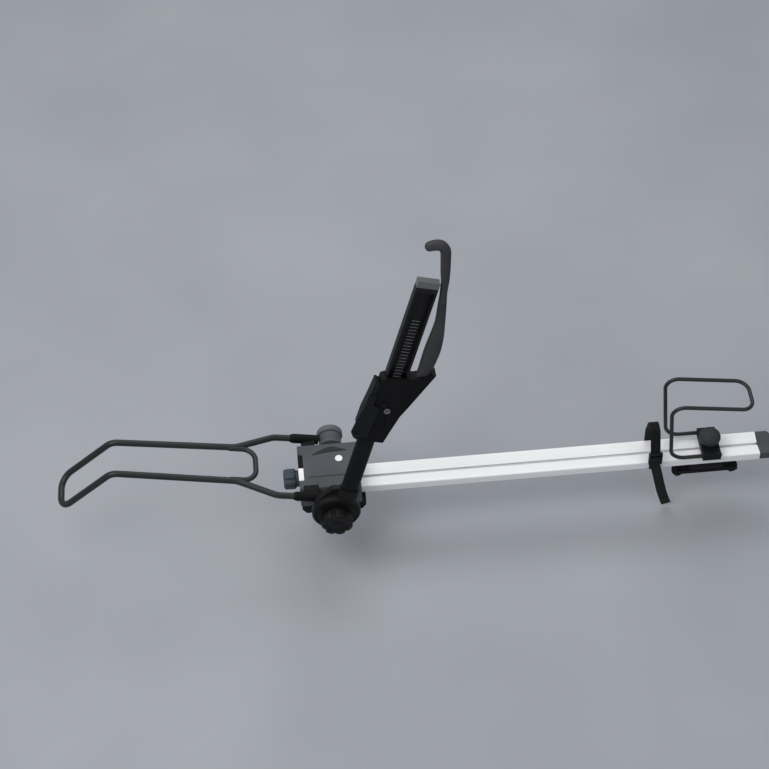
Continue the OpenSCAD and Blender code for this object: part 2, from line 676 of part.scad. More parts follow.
module frame_pad() color("#9fa1a3") arm_frame() difference() {
  box([rack_x0, rack_y0, rack_top], [rack_x1, rack_y1, rack_top + frame_pad_h]);
  cyl_x((rack_y0 + rack_y1) / 2, rack_top + frame_pad_h + 16, rack_x0 - 1, rack_x1 + 1, 18);
}

module pawl() color("#8a8d91") arm_frame() difference() {
  tip = tooth_tip - pawl_gap;
  union() {
    cyl_x(pawl_y, pawl_z, pawl_x0, pawl_x1, pawl_pin_r + 2);
    bar([[pawl_y - 3.5, pawl_z], [pawl_y + 0.5, pawl_z - 21], [tip, pawl_z - 21], [tip, pawl_z - 18.5], [tip - 2.5, pawl_z - 16], [pawl_y + 4, pawl_z]],
      pawl_x0, pawl_x1);
  }
  cyl_x(pawl_y, pawl_z, pawl_x0 - 1, pawl_x1 + 1, pawl_pin_r + run_fit);
}

module pawl_pin() color("#a5a8ac") arm_frame() cyl_x(pawl_y, pawl_z, pawl_x0 - 8, pawl_x1 + 7.5, pawl_pin_r);

module pawl_spring() color("#b0b3b7") arm_frame() difference() {
  cyl_x(pawl_y, pawl_z, pawl_x1 + 0.4, pawl_x1 + 3.2, pawl_pin_r + 1.4);
  cyl_x(pawl_y, pawl_z, pawl_x1, pawl_x1 + 4, pawl_pin_r + 0.2);
}

function pawl_screw_places() = [[19 * wk, casing_low + 108 * hk], [29 * wk, casing_low + 94 * hk]];

module pawl_screws() color("#a9acb0") arm_frame() {
  small = pawl_screw_places()[0];
  large = pawl_screw_places()[1];
  for (p = pawl_screw_places()) cyl_y(p[0], p[1], -casing_near_y, shell_t + 1 - casing_near_y, 2.5);
  cyl_y(small[0], small[1], -casing_near_y - 2.5, -casing_near_y, 4.5);
  cyl_y(large[0], large[1], -casing_near_y - 4, -casing_near_y, 7.5);
}

function hook_z(z) = hk * (z > hook_root ? hook_root + (z - hook_root) * (hook_h - hook_root) / (531 - 206) : z);

// Middle line of the hook in the arm's frame, from its root to its tip
function hook_points() = [for (p = [[72, 0, 164], [78, 0, 182], [84, 0, 206], [85.5, 0, 259], [84.5, 0.5, 300],
  [81, 1, 339], [74, 1, 378], [66.5, 1, 418], [61, 1, 449], [54.8, 1, 473], [46.5, 1, 504], [41, 3, 522], [30, 5, 531],
  [18, 7, 529], [7, 8, 523]]) [p[0] * wk, casing_mid + p[1] * wk, casing_low + hook_z(p[2])]];

// Half widths and half depths of the hook at those points
function hook_sizes() = hook_w / 36 * [10, 12, 15, 18, 15.6, 11.3, 9.6, 7.8, 8.8, 10.2, 10.7, 11, 11.3, 11, 10];

function hook_depths() = hook_d / 20 * [7.5, 8, 9, 10, 9.5, 8.5, 7.5, 7.5, 7.5, 7.5, 8, 9, 10, 10, 9.5];

module hook_solid(gap) {
  p = smooth_path(hook_points(), 4);
  sweep(p, [for (a = smooth_path(hook_depths(), 4)) a + gap], [for (a = smooth_path(hook_sizes(), 4)) a + gap], [0, 1, 0], 20);
}

module hook() color("#161618") arm_frame() difference() {
  hook_solid(0);
  cyl_y(hook_bolt_x, hook_bolt_z, -casing_near_y, casing_back, hook_bolt_r + run_fit);
}

module hook_bolt() color("#96999d") arm_frame() {
  cyl_y(hook_bolt_x, hook_bolt_z, 5 - casing_near_y, casing_back, hook_bolt_r);
  cyl_y(hook_bolt_x, hook_bolt_z, casing_back, casing_back + 4, hook_bolt_r + 3);
}

// Tray

function tray_half(s) = [[s * tray_w / 2, 0], [s * tray_w / 2, tray_h - 4], [s * (tray_w / 2 - 0.6), tray_h - 1.6],
  [s * (tray_w / 2 - 2), tray_h - 0.4], [s * (tray_w / 2 - 4.5), tray_h], [s * slot_half, tray_h - tray_dish]];

function tray_outline() = concat(tray_half(1), [for (i = [len(tray_half(-1)) - 1:-1:0]) tray_half(-1)[i]]);

function side_chamber(s) = let (y0 = chamber_half + tray_wall, y1 = tray_w / 2 - tray_wall,
    slope = tray_dish / (tray_w / 2 - 4.5 - slot_half))
  [[s * y0, tray_wall], [s * y1, tray_wall], [s * y1, tray_h - 5 - tray_wall], [s * (y1 - 3), tray_h - tray_wall - 1.6],
   [s * y0, tray_h - tray_dish + slope * (y0 - slot_half) - tray_wall]];

module tray_rail() color("#c3c5c8") translate([tray_x0, 0, tray_z]) rotate([90, 0, 90]) linear_extrude(tray_len) difference() {
  polygon(tray_outline());
  for (s = [-1, 1]) polygon(side_chamber(s));
  translate([-slot_half, top_chamber_z + 1]) square([2 * slot_half, tray_h]);
  translate([-chamber_half, top_chamber_z]) square([2 * chamber_half, chamber_h]);
  translate([-slot_half, -1]) square([2 * slot_half, low_chamber_z + 2]);
  translate([-chamber_half, low_chamber_z]) square([2 * chamber_half, chamber_h]);
}

module tray_end_cap() color("#2a2b2d") translate([tray_x1, 0, tray_z]) difference() {
  rotate([90, 0, 90]) linear_extrude(cap_len) polygon(tray_outline());
  translate([cap_len, 0, tray_h + 6]) rotate([0, 30, 0]) cube([40, tray_w + 2, 16], center = true);
  for (s = [-1, 1]) translate([cap_len, s * tray_w / 2, tray_h / 2]) rotate([0, 0, 45]) cube([18, 18, tray_h + 2], center = true);
}

module rear_clamp_plate() color("#1c1d1f") difference() {
  box([rear_x - rear_bolt_x - 9, -rear_plate_half, pad_t], [rear_x + rear_bolt_x + 9, rear_plate_half, tray_z]);
  rear_bolt_holes();
}

module rear_bolt_holes() for (s = [-1, 1]) cyl_z(rear_x + s * rear_bolt_x, 0, -bar_h - rear_bolt_tail, tray_z + 1, rear_bolt_r + 0.2);

module rear_clamp_pads() color("#242527") {
  box([rear_x - bar_w / 2, -22, 0], [rear_x + bar_w / 2, 22, pad_t]);
  box([rear_x - bar_w / 2, -18, -bar_h - pad_t], [rear_x + bar_w / 2, 18, -bar_h]);
}

module rear_clamp_bar() color("#1c1d1f") difference() {
  box([rear_x - rear_bolt_x - 9, -20, -bar_h - pad_t - clamp_bar_t], [rear_x + rear_bolt_x + 9, 20, -bar_h - pad_t]);
  rear_bolt_holes();
}

module rear_clamp_bolts() color("#a3a6aa") for (s = [-1, 1]) {
  x = rear_x + s * rear_bolt_x;
  slot_nut(x);
  cyl_z(x, 0, -bar_h - rear_bolt_tail, tray_z + low_chamber_z, rear_bolt_r);
}

module rear_clamp_knob(s) color("#1b1c1e") difference() {
  translate([rear_x + s * rear_bolt_x, 0, -bar_h - pad_t - clamp_bar_t - 0.3]) rotate([180, 0, 0]) lobed_knob(14, 16, 6, 3);
  cyl_z(rear_x + s * rear_bolt_x, 0, -bar_h - 60, 0, rear_bolt_r + run_fit);
}

module rear_clamp_knob_1() rear_clamp_knob(-1);

module rear_clamp_knob_2() rear_clamp_knob(1);

// Rear hoop

function rear_side(s) = [[bracket_x + bracket_half - 1, s * rear_foot_y, rear_rod_z], [bracket_x - hoop_back + hoop_step, s * rear_foot_y, rear_rod_z],
  [bracket_x - hoop_back, s * rear_y, tray_top + rear_hoop_h], [bracket_x + hoop_tail, s * rear_y, tray_top + rear_hoop_h - hoop_drop]];

function rear_path() = let (near = rear_side(-1), far = rear_side(1))
  bent_path(concat(near, [for (i = [len(far) - 1:-1:0]) far[i]]), [34, 26, 28, 28, 26, 34]);

module rear_hoop() color("#141416") rod(rear_path(), rear_rod, [0, 0, 1]);

module hoop_bracket() color("#242528") difference() {
  z0 = tray_top + 0.3;
  union() {
    box([bracket_x - bracket_half, -rear_foot_y - 7, z0], [bracket_x + bracket_half, rear_foot_y + 7, z0 + bracket_h]);
    cyl_z(bracket_x, 0, z0 + bracket_h - 1, z0 + bracket_h + 6, hoop_knob_r - 6);
  }
  for (s = [-1, 1]) cyl_x(s * rear_foot_y, rear_rod_z, bracket_x - bracket_half - 1, bracket_x + bracket_half + 1, rear_rod / 2);
  cyl_z(bracket_x, 0, 0, z0 + bracket_h + 20, hoop_bolt_r + run_fit);
}

module hoop_bolt() color("#a3a6aa") {
  z = tray_z + top_chamber_z;
  box([bracket_x - 10, -chamber_half + 0.5, z + 0.4], [bracket_x + 10, chamber_half - 0.5, z + chamber_h - 0.4]);
  box([bracket_x - 4, -slot_half + 0.4, z + 1], [bracket_x + 4, slot_half - 0.4, tray_top - tray_dish]);
  cyl_z(bracket_x, 0, z + chamber_h - 1, tray_top + bracket_h + 20, hoop_bolt_r);
}

module hoop_knob() color("#4d5055") difference() {
  r = hoop_knob_r;
  translate([bracket_x, 0, tray_top + bracket_h + 6.6]) rotate_extrude()
    polygon([[0, 0], [r - 3, 0], [r - 1, 4], [r, 8], [r, 12], [r - 1, 16], [r - 4, 20], [r - 9, 23], [r - 15, 24.5], [0, 25]]);
  cyl_z(bracket_x, 0, 0, tray_top + bracket_h + 20.5, hoop_bolt_r + run_fit);
}

// Strap

// Middle line of the strap's loop across the car, anticlockwise from under the tray
function strap_loop(d) = let (y = strap_half + d, low = tray_z - slide_fit - strap_t / 2 - d, top = strap_top + d, c = strap_t / 2 + 0.3 + d)
  [[-y + c, low], [y - c, low], [y, low + c], [y, tray_top + 32], [y - 6, tray_top + 48], [18 + d, top - 8], [10 + d, top - 1.5],
   [0, top], [-10 - d, top - 1.5], [-18 - d, top - 8], [-y + 6, tray_top + 48], [-y, tray_top + 32], [-y, low + c]];

module wheel_strap() color("#19191b") difference() {
  bar(strap_loop(strap_t / 2), strap_x - strap_w / 2, strap_x + strap_w / 2);
  bar(strap_loop(-strap_t / 2), strap_x - strap_w / 2 - 1, strap_x + strap_w / 2 + 1);
}

tail_lean = 14;
buckle_low = tray_top + 6;
buckle_high = tray_top + 40;
buckle_y = -strap_half - strap_t / 2 - 0.3;

module strap_tail() color("#19191b") translate([strap_x, buckle_y - 3, buckle_low - 0.4 - strap_w / 2 * sin(tail_lean)]) rotate([0, -tail_lean, 0])
  box([-strap_w / 2, -strap_t, -tail_len], [strap_w / 2, 0, 0]);

module strap_buckle() color("#2c2d30") difference() {
  box([strap_x - strap_w / 2 - 4, buckle_y - 8, buckle_low], [strap_x + strap_w / 2 + 4, buckle_y, buckle_high]);
  box([strap_x - strap_w / 2 - 0.5, buckle_y - 9, buckle_low + 5], [strap_x + strap_w / 2 + 0.5, buckle_y - 2, buckle_high - 4]);
  cyl_x(buckle_y - 5, buckle_high - 10, strap_x - strap_w, strap_x + strap_w, 1.5 + run_fit);
}

module buckle_cam() color("#242528") {
  cyl_x(buckle_y - 5, buckle_high - 10, strap_x - strap_w / 2 - 3, strap_x + strap_w / 2 + 3, 1.5);
  cyl_x(buckle_y - 5, buckle_high - 10, strap_x - strap_w / 2 + 0.5, strap_x + strap_w / 2 - 0.5, 2.6);
  box([strap_x - strap_w / 2 + 0.5, buckle_y - 8.5, buckle_low + 7], [strap_x + strap_w / 2 - 0.5, buckle_y - 5.2, buckle_high - 9]);
}

base_saddle();
saddle_pad();
fixed_claw();
sliding_claw();
clamp_nut();
clamp_screw();
knob_collar();
clamp_knob();
head_cover();
cover_chevron();
cover_plug();
pivot_axle();
axle_bushes();
axle_cap();
arm_hub();
torque_knob();
arm_tube();
casing_near();
casing_far();
casing_screws();
lever();
lever_pin();
lock_barrel();
pawl();
pawl_pin();
pawl_spring();
pawl_screws();
rack_bar();
rack_guide();
frame_pad();
hook();
hook_bolt();
front_hoop();
hoop_cross_rod();
hoop_sockets();
tray_rail();
tray_end_cap();
tray_screws();
rear_clamp_plate();
rear_clamp_pads();
rear_clamp_bar();
rear_clamp_bolts();
rear_clamp_knob_1();
rear_clamp_knob_2();
rear_hoop();
hoop_bracket();
hoop_bolt();
hoop_knob();
wheel_strap();
strap_tail();
strap_buckle();
buckle_cam();
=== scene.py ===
import json
import math
import bmesh
import bpy
from mathutils import Matrix, Vector


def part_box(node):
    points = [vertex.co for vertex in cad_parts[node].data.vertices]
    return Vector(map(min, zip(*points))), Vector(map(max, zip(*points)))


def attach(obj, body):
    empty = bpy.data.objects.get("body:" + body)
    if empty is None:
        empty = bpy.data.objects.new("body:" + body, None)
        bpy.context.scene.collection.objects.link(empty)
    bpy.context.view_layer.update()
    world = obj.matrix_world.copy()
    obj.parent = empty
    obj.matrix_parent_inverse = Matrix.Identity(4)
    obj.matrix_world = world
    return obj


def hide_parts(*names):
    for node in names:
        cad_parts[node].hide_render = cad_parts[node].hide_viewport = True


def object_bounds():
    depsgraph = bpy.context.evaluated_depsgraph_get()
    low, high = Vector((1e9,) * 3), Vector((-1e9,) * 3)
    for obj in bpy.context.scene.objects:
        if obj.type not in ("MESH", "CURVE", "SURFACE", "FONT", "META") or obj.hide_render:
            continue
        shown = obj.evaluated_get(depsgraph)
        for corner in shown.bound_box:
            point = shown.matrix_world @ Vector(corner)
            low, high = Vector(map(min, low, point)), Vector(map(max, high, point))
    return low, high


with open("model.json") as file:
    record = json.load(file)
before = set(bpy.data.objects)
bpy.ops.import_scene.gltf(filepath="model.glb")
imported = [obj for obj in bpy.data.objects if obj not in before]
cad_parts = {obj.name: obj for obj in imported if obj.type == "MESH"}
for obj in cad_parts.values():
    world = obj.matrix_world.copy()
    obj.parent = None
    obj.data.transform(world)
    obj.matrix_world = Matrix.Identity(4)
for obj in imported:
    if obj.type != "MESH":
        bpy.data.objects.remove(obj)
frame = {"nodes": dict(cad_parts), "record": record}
nodes = frame["nodes"]
cad_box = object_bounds()

# Lengths are in millimetres where MM, MILLI or ARM scales them, and in metres elsewhere
MM = 0.001
MILLI = Matrix.Scale(MM, 4)


# Camera at the photograph's viewpoint

IMAGE_PX = 769.0
FOCAL_PX = 2019.4
SENSOR = 36.0
FAR_CLIP = 60.0
CAMERA_PLACE = (-0.048534, -2.902045, 3.680875)
CAMERA_RIGHT = (0.99589921, -0.08744066, -0.02321428)
CAMERA_LOOK = (0.03994032, 0.65518363, -0.75441314)

cam_data = bpy.data.cameras.new("camera")
cam_data.sensor_fit = "HORIZONTAL"
cam_data.sensor_width = SENSOR
cam_data.lens = FOCAL_PX * SENSOR / IMAGE_PX
cam_data.clip_end = FAR_CLIP
cam = bpy.data.objects.new("camera", cam_data)
bpy.context.collection.objects.link(cam)
right = Vector(CAMERA_RIGHT).normalized()
look = Vector(CAMERA_LOOK).normalized()
up = right.cross(look).normalized()
turn = Matrix((right, up, -look)).transposed().to_4x4()
cam.matrix_world = Matrix.Translation(CAMERA_PLACE) @ turn
bpy.context.scene.camera = cam


# Studio light

HEAD_AIM = (0.2, 0, 0.1)
TRAY_AIM = (0.3, 0, 0.2)
WARM = (1.0, 0.985, 0.965)
COOL = (0.95, 0.975, 1.0)
WHITE = (1.0, 1.0, 1.0)
SKY_COLOUR = (0.93, 0.96, 1.0, 1.0)
SKY_STRENGTH = 0.36


def area_light(name, place, target, size, power, tint):
    data = bpy.data.lights.new(name, "AREA")
    data.shape = "RECTANGLE"
    data.size = size[0]
    data.size_y = size[1]
    data.energy = power
    data.color = tint
    lamp = bpy.data.objects.new(name, data)
    lamp.location = place
    lamp.rotation_euler = (Vector(target) - Vector(place)).to_track_quat("-Z", "Y").to_euler()
    bpy.context.collection.objects.link(lamp)


area_light("key", place=(-1.5, -1.0, 3.2), target=HEAD_AIM, size=(2.4, 2.4), power=74, tint=WARM)
area_light("fill", place=(2.3, -2.2, 2.0), target=TRAY_AIM, size=(2.2, 2.2), power=16, tint=COOL)
area_light("back", place=(0.4, 2.4, 3.0), target=TRAY_AIM, size=(3.2, 1.8), power=48, tint=WHITE)

world = bpy.data.worlds.new("studio")
bpy.context.scene.world = world
world.use_nodes = True
sky = world.node_tree.nodes["Background"]
sky.inputs["Color"].default_value = SKY_COLOUR
sky.inputs["Strength"].default_value = SKY_STRENGTH
bpy.context.scene.view_settings.view_transform = "Standard"


# Node graph of a material, with its textures in object coordinates

# Sockets of a mix node that mixes colours
MIX_FACTOR = 0
MIX_FIRST = 6
MIX_SECOND = 7
MIX_RESULT = 2


def linear(code):
    out = []
    for i in (1, 3, 5):
        c = int(code[i:i + 2], 16) / 255.0
        out.append(c / 12.92 if c <= 0.04045 else ((c + 0.055) / 1.055) ** 2.4)
    return out


def shade(rgb, k):
    return [min(1.0, c * k) for c in rgb]


class Graph:
    def __init__(self, name):
        self.mat = bpy.data.materials.new(name)
        self.mat.use_nodes = True
        self.tree = self.mat.node_tree
        self.shader = self.tree.nodes["Principled BSDF"]
        self.coord = self.tree.nodes.new("ShaderNodeTexCoord").outputs["Object"]

    def link(self, a, b):
        self.tree.links.new(a, b)

    def set(self, name, value):
        self.shader.inputs[name].default_value = value

    def feed(self, source, name):
        self.link(source, self.shader.inputs[name])

    def scaled(self, stretch):
        node = self.tree.nodes.new("ShaderNodeMapping")
        node.inputs["Scale"].default_value = stretch
        self.link(self.coord, node.inputs["Vector"])
        return node.outputs["Vector"]

    def noise(self, scale, detail=3.0, vector=None):
        node = self.tree.nodes.new("ShaderNodeTexNoise")
        node.inputs["Scale"].default_value = scale
        node.inputs["Detail"].default_value = detail
        self.link(vector or self.coord, node.inputs["Vector"])
        return node.outputs["Fac"]

    def wave(self, direction, scale, bend):
        node = self.tree.nodes.new("ShaderNodeTexWave")
        node.bands_direction = direction
        node.inputs["Scale"].default_value = scale
        node.inputs["Distortion"].default_value = bend
        self.link(self.coord, node.inputs["Vector"])
        return node.outputs["Fac"]

    def product(self, a, b):
        node = self.tree.nodes.new("ShaderNodeMath")
        node.operation = "MULTIPLY"
        self.link(a, node.inputs[0])
        self.link(b, node.inputs[1])
        return node.outputs["Value"]

    def ramp(self, source, stops):
        node = self.tree.nodes.new("ShaderNodeValToRGB")
        for item, (place, colour) in zip(node.color_ramp.elements, stops):
            item.position = place
            item.color = list(colour) + [1.0]
        self.link(source, node.inputs["Fac"])
        return node.outputs["Color"]

    # One colour that varies between a darker and a paler shade of itself
    def mottled(self, source, base, dark, pale, low=0.3, high=0.7):
        return self.ramp(source, [(low, shade(base, dark)), (high, shade(base, pale))])

    def span(self, source, low, high):
        node = self.tree.nodes.new("ShaderNodeMapRange")
        node.inputs["To Min"].default_value = low
        node.inputs["To Max"].default_value = high
        self.link(source, node.inputs["Value"])
        return node.outputs["Result"]

    def bump(self, source, strength, distance, before=None):
        node = self.tree.nodes.new("ShaderNodeBump")
        node.inputs["Strength"].default_value = strength
        node.inputs["Distance"].default_value = distance * MM
        self.link(source, node.inputs["Height"])
        if before is not None:
            self.link(before, node.inputs["Normal"])
        return node.outputs["Normal"]

    # Paler colour along the edges, where the surface is rubbed
    def worn(self, colour, edge, low=0.52, high=0.62):
        geometry = self.tree.nodes.new("ShaderNodeNewGeometry")
        mask = self.tree.nodes.new("ShaderNodeMapRange")
        mask.inputs["From Min"].default_value = low
        mask.inputs["From Max"].default_value = high
        self.link(geometry.outputs["Pointiness"], mask.inputs["Value"])
        mix = self.tree.nodes.new("ShaderNodeMix")
        mix.data_type = "RGBA"
        self.link(mask.outputs["Result"], mix.inputs[MIX_FACTOR])
        self.link(colour, mix.inputs[MIX_FIRST])
        mix.inputs[MIX_SECOND].default_value = list(edge) + [1.0]
        return mix.outputs[MIX_RESULT]


# Kinds of material

def moulded(name, code, rough, grain=1400.0, gloss=0.28, edge=1.35):
    g = Graph(name)
    base = linear(code)
    colour = g.mottled(g.noise(14.0, detail=4.0), base, dark=0.86, pale=1.14)
    g.feed(g.worn(colour, shade(base, edge)), "Base Color")
    g.feed(g.span(g.noise(60.0, detail=5.0), rough - 0.08, rough + 0.1), "Roughness")
    g.feed(g.bump(g.noise(grain, detail=2.0), strength=0.35, distance=0.06), "Normal")
    g.set("Specular IOR Level", gloss)
    return g.mat


def coated(name, code, rough, gloss=0.35):
    g = Graph(name)
    base = linear(code)
    colour = g.mottled(g.noise(9.0, detail=4.0), base, dark=0.86, pale=1.18)
    g.feed(g.worn(colour, shade(base, 1.9), low=0.53, high=0.68), "Base Color")
    g.feed(g.span(g.noise(45.0, detail=5.0), rough - 0.07, rough + 0.12), "Roughness")
    peel = g.bump(g.noise(420.0), strength=0.18, distance=0.12)
    g.feed(g.bump(g.noise(2600.0, detail=2.0), strength=0.16, distance=0.04, before=peel), "Normal")
    g.set("Specular IOR Level", gloss)
    return g.mat


def anodised(name, code):
    g = Graph(name)
    base = linear(code)
    lines = g.noise(1.0, detail=4.0, vector=g.scaled((5.0, 1500.0, 1500.0)))
    g.feed(g.mottled(lines, base, dark=0.9, pale=1.06, low=0.25, high=0.75), "Base Color")
    g.feed(g.span(g.noise(6.0, detail=4.0), 0.34, 0.5), "Roughness")
    g.feed(g.bump(lines, strength=0.12, distance=0.05), "Normal")
    g.set("Metallic", 0.12)
    return g.mat


def plated(name, code, rough=0.28):
    g = Graph(name)
    base = linear(code)
    g.feed(g.mottled(g.noise(120.0, detail=4.0), base, dark=0.8, pale=1.1), "Base Color")
    g.feed(g.span(g.noise(300.0), rough - 0.06, rough + 0.16), "Roughness")
    g.feed(g.bump(g.noise(900.0), strength=0.15, distance=0.04), "Normal")
    g.set("Metallic", 1.0)
    return g.mat


def rubber(name, code, rough=0.75):
    g = Graph(name)
    base = linear(code)
    colour = g.mottled(g.noise(25.0, detail=5.0), base, dark=0.8, pale=1.22, low=0.28, high=0.72)
    g.feed(g.worn(colour, shade(base, 1.5)), "Base Color")
    g.feed(g.span(g.noise(70.0, detail=4.0), rough - 0.1, rough + 0.1), "Roughness")
    g.feed(g.bump(g.noise(1100.0), strength=0.4, distance=0.08), "Normal")
    g.set("Specular IOR Level", 0.25)
    return g.mat


def webbing(name, code):
    g = Graph(name)
    base = linear(code)
    weave = g.product(g.wave("Z", 330.0, bend=0.5), g.wave("X", 210.0, bend=0.4))
    g.feed(g.mottled(weave, base, dark=0.55, pale=1.6, low=0.0, high=0.8), "Base Color")
    g.feed(g.span(g.noise(80.0), 0.74, 0.92), "Roughness")
    g.feed(g.bump(weave, strength=0.6, distance=0.3), "Normal")
    g.set("Specular IOR Level", 0.15)
    g.set("Sheen Weight", 0.08)
    return g.mat


# Finish of each material slot, and of the pieces that differ from their slot

FINISH = {
    "steel_black": coated("steel_black", "#111112", rough=0.55, gloss=0.15),
    "rod_black": coated("rod_black", "#232426", rough=0.38),
    "anodised": anodised("anodised", "#f2f3f4"),
    "zinc": plated("zinc", "#85878b"),
    "plastic_black": moulded("plastic_black", "#0c0c0e", rough=0.58, gloss=0.13, edge=1.8),
    "plastic_dark": moulded("plastic_dark", "#101316", rough=0.52, gloss=0.16, edge=1.8),
    "plastic_grey": moulded("plastic_grey", "#4b4e52", rough=0.6, gloss=0.25),
    "plastic_blue_grey": moulded("plastic_blue_grey", "#3d464f", rough=0.45, grain=900.0),
    "plastic_pale": moulded("plastic_pale", "#ebecec", rough=0.45, grain=900.0, gloss=0.3, edge=1.03),
    "rubber_black": rubber("rubber_black", "#29292c"),
    "rubber_grey": rubber("rubber_grey", "#595b5e", rough=0.7),
    "webbing": webbing("webbing", "#151517"),
}
DARK_ZINC = plated("dark_zinc", "#37383b", rough=0.36)
# Darker plastic painted as shade: the shadow inside the sunken chevron panel and along the crease of
# the cover
COVER_PAINTED_SHADE = moulded("cover_painted_shade", "#232528", rough=0.6)
TUBE = coated("tube_coat", "#0d0e0f", rough=0.48, gloss=0.16)
RACK = coated("rack_coat", "#151517", rough=0.45, gloss=0.2)
# Paler coat for the tips of the rack teeth: wear plus a painted highlight of the light falling on them
TOOTH_WEAR_AND_HIGHLIGHT = coated("tooth_wear_and_highlight", "#6e6f72", rough=0.45, gloss=0.3)
END_CAP = moulded("end_cap", "#46484c", rough=0.55)
KNOB_DARK = moulded("knob_dark", "#303235", rough=0.55, grain=1100.0, gloss=0.2)
HUB = moulded("hub_black", "#131314", rough=0.5, gloss=0.18, edge=1.8)
HOOK_COAT = rubber("hook_coat", "#353538", rough=0.65)
CAP = moulded("cap_grey", "#5a5c60", rough=0.55)
THREAD = rubber("thread", "#34343a", rough=0.8)
NODE_FINISH = {
    "lock_barrel": DARK_ZINC,
    "lever_pin": DARK_ZINC,
    # The chevron's dark colour is painted shadow inside its sunken panel
    "cover_chevron": COVER_PAINTED_SHADE,
    "arm_tube": TUBE,
    "tray_end_cap": END_CAP,
    "arm_hub": HUB,
    "axle_cap": CAP,
    "rack_bar": RACK,
}

slot_of = {}
for item in frame["record"]["subparts"]:
    slot_of[item["node"]] = item["material_slot"]
for name, obj in nodes.items():
    obj.data.materials.clear()
    obj.data.materials.append(NODE_FINISH.get(name, FINISH[slot_of[name]]))


# Rounded edges on the rigid pieces

EDGE_ANGLE = math.radians(32)
EDGE_STEPS = 3
WELD_GAP = 0.002
FLAT_WITHIN = math.radians(0.5)
EDGE_WIDTH = {
    "arm_hub": 1.2,
    "arm_tube": 0.5,
    "axle_cap": 0.8,
    "base_saddle": 0.8,
    "buckle_cam": 0.6,
    "casing_far": 1.5,
    "casing_near": 1.5,
    "cover_chevron": 0.5,
    "cover_plug": 0.4,
    "fixed_claw": 1.6,
    "frame_pad": 1.6,
    "head_cover": 1.6,
    "hoop_bracket": 2.0,
    "hoop_sockets": 1.4,
    "knob_collar": 0.8,
    "lever": 2.4,
    "rack_bar": 0.5,
    "rack_guide": 0.5,
    "rear_clamp_bar": 1.4,
    "rear_clamp_pads": 0.8,
    "rear_clamp_plate": 0.8,
    "saddle_pad": 0.8,
    "sliding_claw": 1.6,
    "strap_buckle": 0.8,
    "tray_end_cap": 1.6,
    "tray_rail": 0.35,
}


def round_edges(obj, width, miter="MITER_SHARP"):
    bevel = obj.modifiers.new("rounded edges", "BEVEL")
    bevel.width = width * MM
    bevel.segments = EDGE_STEPS
    bevel.limit_method = "ANGLE"
    bevel.angle_limit = EDGE_ANGLE
    bevel.miter_outer = miter
    normal = obj.modifiers.new("normals", "WEIGHTED_NORMAL")
    normal.keep_sharp = False


# The triangles of a solid are joined into whole faces first, so that only its real edges are rounded
def soften(obj, width):
    weld = obj.modifiers.new("weld", "WELD")
    weld.merge_threshold = WELD_GAP * MM
    flat = obj.modifiers.new("flat faces", "DECIMATE")
    flat.decimate_type = "DISSOLVE"
    flat.angle_limit = FLAT_WITHIN
    round_edges(obj, width, "MITER_ARC")


for name, width in EDGE_WIDTH.items():
    soften(nodes[name], width)


# Mesh pieces and their shapes, each shape being a list of points and a list of faces

UP = (0, 0, 1)
DOWN = (0, 0, -1)
FAR = (0, 1, 0)
SHARP = 38.0
SOFT_SHARP = 60.0
JOIN_GAP = 1e-7
BEND_STEPS = 12
DOME_STEPS = 5
DOME_REACH = 0.97
NO_DOME = (False, False)
END_DOME = (False, True)
TWO_DOMES = (True, True)


def piece(name, shape, matrix, slot, body, *stands_for, sharp=SHARP, material=None):
    mesh = bpy.data.meshes.new(name)
    mesh.from_pydata([tuple(matrix @ Vector(v)) for v in shape[0]], [], shape[1])
    bm = bmesh.new()
    bm.from_mesh(mesh)
    bmesh.ops.remove_doubles(bm, verts=bm.verts, dist=JOIN_GAP)
    bmesh.ops.recalc_face_normals(bm, faces=bm.faces)
    bm.to_mesh(mesh)
    bm.free()
    mesh.shade_smooth()
    mesh.set_sharp_from_angle(angle=math.radians(sharp))
    mesh.materials.append(material or FINISH[slot])
    obj = bpy.data.objects.new(name, mesh)
    bpy.context.collection.objects.link(obj)
    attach(obj, body)
    if stands_for:
        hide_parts(*stands_for)
    return obj


def merge(*shapes):
    verts = []
    faces = []
    for points, rings in shapes:
        base = len(verts)
        verts += points
        faces += [[i + base for i in ring] for ring in rings]
    return verts, faces


# Arc of a given radius in place of the corner at p1
def corner(p0, p1, p2, radius):
    a = (p0 - p1).normalized()
    b = (p2 - p1).normalized()
    half = math.acos(max(-1.0, min(1.0, a.dot(b)))) / 2
    cut = radius / math.tan(half)
    middle = p1 + (a + b).normalized() * (radius / math.sin(half))
    u = p1 + a * cut - middle
    w = p1 + b * cut - middle
    bend = math.pi - 2 * half
    out = []
    for i in range(BEND_STEPS + 1):
        first = u * math.sin(bend * (1 - i / BEND_STEPS))
        last = w * math.sin(bend * i / BEND_STEPS)
        out.append(middle + (first + last) / math.sin(bend))
    return out


def bent(points, radii):
    p = [Vector(q) for q in points]
    out = [p[0]]
    for i in range(1, len(p) - 1):
        out += corner(p[i - 1], p[i], p[i + 1], radii[i - 1])
    return out + [p[-1]]


# Bent line that runs along the near side, across, and back along the far side
def hoop_path(far_side, bends):
    near_side = [(x, -y, z) for x, y, z in far_side]
    return bent(near_side + far_side[::-1], bends + bends[::-1])


# Smooth curve through given values, which are numbers or points
def smooth(values, n, loop=False):
    count = len(values)
    spans = count if loop else count - 1
    out = []
    for i in range(spans):
        if loop:
            a, b, c, d = [values[(i + k) % count] for k in (-1, 0, 1, 2)]
        else:
            a, b, c, d = [values[min(max(i + k, 0), count - 1)] for k in (-1, 0, 1, 2)]
        for k in range(n):
            t = k / n
            out.append(b + (c - a) * (t / 2) + (a * 2 - b * 5 + c * 4 - d) * (t * t / 2)
                       + (b * 3 - a - c * 3 + d) * (t ** 3 / 2))
    if not loop:
        out.append(values[-1])
    return out


